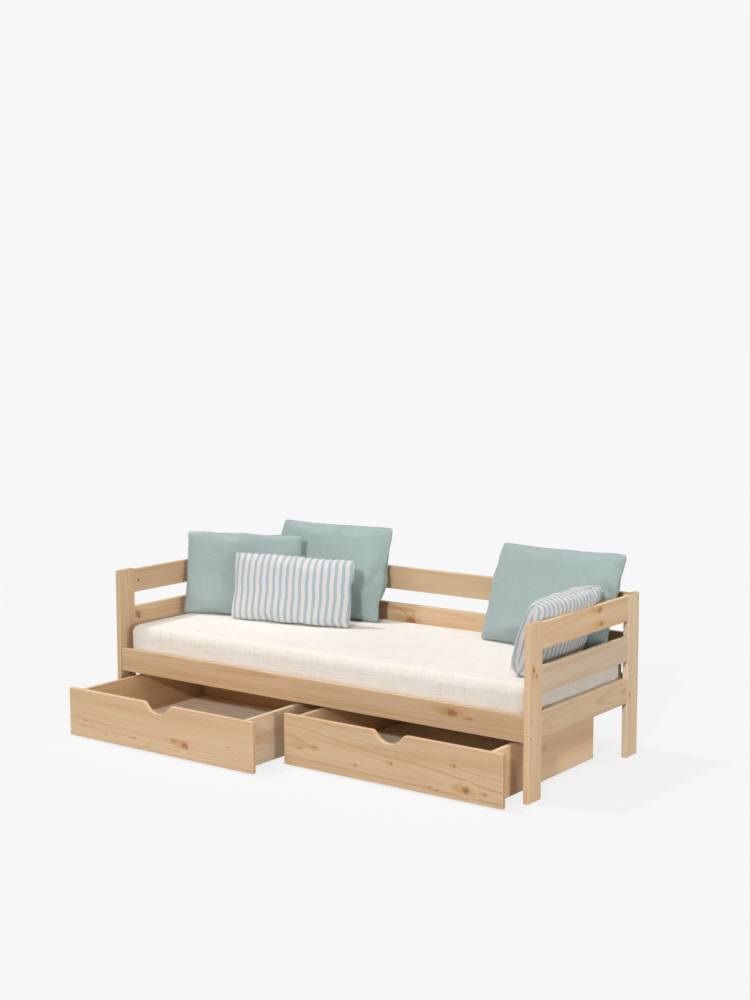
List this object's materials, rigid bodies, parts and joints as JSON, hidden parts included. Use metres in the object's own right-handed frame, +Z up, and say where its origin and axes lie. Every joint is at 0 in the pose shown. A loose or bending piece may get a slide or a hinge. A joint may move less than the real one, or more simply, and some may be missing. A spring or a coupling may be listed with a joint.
{
  "type": "storage daybed",
  "caption": "Slatted pine daybed with railed ends and back, rolling under-bed drawers with finger notches, a mattress and loose cushions.",
  "frame": {"origin": "on the floor, under the middle of the box round the bed and its drawers as they stand in the picture", "axes": "+X along the bed towards the right-hand end as seen from its open front, +Y towards the back rails, +Z up"},
  "size_m": [1.98, 1.1096, 0.7904],
  "materials": {
    "pine": "clear-oiled knotty pine board",
    "pine_light": "plain planed pine",
    "drawer_ply": "thin pale plywood",
    "ticking": "off-white slub linen weave",
    "green_linen": "sage green linen weave",
    "striped_cotton": "light blue and off-white woven stripes",
    "castor_steel": "zinc-plated",
    "castor_nylon": "moulded"
  },
  "bodies": {
    "frame": {"leg_front_left": "pine", "leg_front_right": "pine", "leg_back_left": "pine", "leg_back_right": "pine", "rail_back_top": "pine", "rail_left_top": "pine", "rail_right_top": "pine", "rail_back_mid": "pine", "rail_left_mid": "pine", "rail_right_mid": "pine", "rail_back_low": "pine", "rail_left_low": "pine", "rail_right_low": "pine", "rail_front": "pine", "ledger_front": "pine_light", "ledger_back": "pine_light", "slat_01": "pine_light", "slat_02": "pine_light", "slat_03": "pine_light", "slat_04": "pine_light", "slat_05": "pine_light", "slat_06": "pine_light", "slat_07": "pine_light", "slat_08": "pine_light", "slat_09": "pine_light", "slat_10": "pine_light", "mattress": "ticking", "cushion_green_left": "green_linen", "cushion_green_centre": "green_linen", "cushion_green_right": "green_linen", "cushion_striped_left": "striped_cotton", "cushion_striped_right": "striped_cotton"},
    "drawer_left": {"drawer_left_front": "pine", "drawer_left_side_left": "pine", "drawer_left_side_right": "pine", "drawer_left_back": "pine", "drawer_left_bottom": "drawer_ply", "drawer_left_castor_1": "castor_steel", "drawer_left_castor_2": "castor_steel", "drawer_left_castor_3": "castor_steel", "drawer_left_castor_4": "castor_steel"},
    "drawer_left_wheel_1": {"drawer_left_wheel_1": "castor_nylon"},
    "drawer_left_wheel_2": {"drawer_left_wheel_2": "castor_nylon"},
    "drawer_left_wheel_3": {"drawer_left_wheel_3": "castor_nylon"},
    "drawer_left_wheel_4": {"drawer_left_wheel_4": "castor_nylon"},
    "drawer_right": {"drawer_right_front": "pine", "drawer_right_side_left": "pine", "drawer_right_side_right": "pine", "drawer_right_back": "pine", "drawer_right_bottom": "drawer_ply", "drawer_right_castor_1": "castor_steel", "drawer_right_castor_2": "castor_steel", "drawer_right_castor_3": "castor_steel", "drawer_right_castor_4": "castor_steel"},
    "drawer_right_wheel_1": {"drawer_right_wheel_1": "castor_nylon"},
    "drawer_right_wheel_2": {"drawer_right_wheel_2": "castor_nylon"},
    "drawer_right_wheel_3": {"drawer_right_wheel_3": "castor_nylon"},
    "drawer_right_wheel_4": {"drawer_right_wheel_4": "castor_nylon"}
  },
  "joints": [
    {"name": "drawer_left_slide", "type": "slide", "parent": "frame", "child": "drawer_left", "axis": [0, -1, 0], "range_m": [-0.3, 0.44]},
    {"name": "drawer_left_wheel_1_spin", "type": "hinge", "parent": "drawer_left", "child": "drawer_left_wheel_1", "pos_m": [-0.845, -0.46645, 0.012], "axis": [1, 0, 0], "continuous": true},
    {"name": "drawer_left_wheel_2_spin", "type": "hinge", "parent": "drawer_left", "child": "drawer_left_wheel_2", "pos_m": [-0.118, -0.46645, 0.012], "axis": [1, 0, 0], "continuous": true},
    {"name": "drawer_left_wheel_3_spin", "type": "hinge", "parent": "drawer_left", "child": "drawer_left_wheel_3", "pos_m": [-0.845, 0.08925, 0.012], "axis": [1, 0, 0], "continuous": true},
    {"name": "drawer_left_wheel_4_spin", "type": "hinge", "parent": "drawer_left", "child": "drawer_left_wheel_4", "pos_m": [-0.118, 0.08925, 0.012], "axis": [1, 0, 0], "continuous": true},
    {"name": "drawer_right_slide", "type": "slide", "parent": "frame", "child": "drawer_right", "axis": [0, -1, 0], "range_m": [-0.124, 0.616]},
    {"name": "drawer_right_wheel_1_spin", "type": "hinge", "parent": "drawer_right", "child": "drawer_right_wheel_1", "pos_m": [0.118, -0.29045, 0.012], "axis": [1, 0, 0], "continuous": true},
    {"name": "drawer_right_wheel_2_spin", "type": "hinge", "parent": "drawer_right", "child": "drawer_right_wheel_2", "pos_m": [0.845, -0.29045, 0.012], "axis": [1, 0, 0], "continuous": true},
    {"name": "drawer_right_wheel_3_spin", "type": "hinge", "parent": "drawer_right", "child": "drawer_right_wheel_3", "pos_m": [0.118, 0.26525, 0.012], "axis": [1, 0, 0], "continuous": true},
    {"name": "drawer_right_wheel_4_spin", "type": "hinge", "parent": "drawer_right", "child": "drawer_right_wheel_4", "pos_m": [0.845, 0.26525, 0.012], "axis": [1, 0, 0], "continuous": true}
  ],
  "couplings": [
    {"joint": "drawer_left_wheel_1_spin", "follows": "drawer_left_slide", "rad_per_m": 83.333},
    {"joint": "drawer_left_wheel_2_spin", "follows": "drawer_left_slide", "rad_per_m": 83.333},
    {"joint": "drawer_left_wheel_3_spin", "follows": "drawer_left_slide", "rad_per_m": 83.333},
    {"joint": "drawer_left_wheel_4_spin", "follows": "drawer_left_slide", "rad_per_m": 83.333},
    {"joint": "drawer_right_wheel_1_spin", "follows": "drawer_right_slide", "rad_per_m": 83.333},
    {"joint": "drawer_right_wheel_2_spin", "follows": "drawer_right_slide", "rad_per_m": 83.333},
    {"joint": "drawer_right_wheel_3_spin", "follows": "drawer_right_slide", "rad_per_m": 83.333},
    {"joint": "drawer_right_wheel_4_spin", "follows": "drawer_right_slide", "rad_per_m": 83.333}
  ]
}
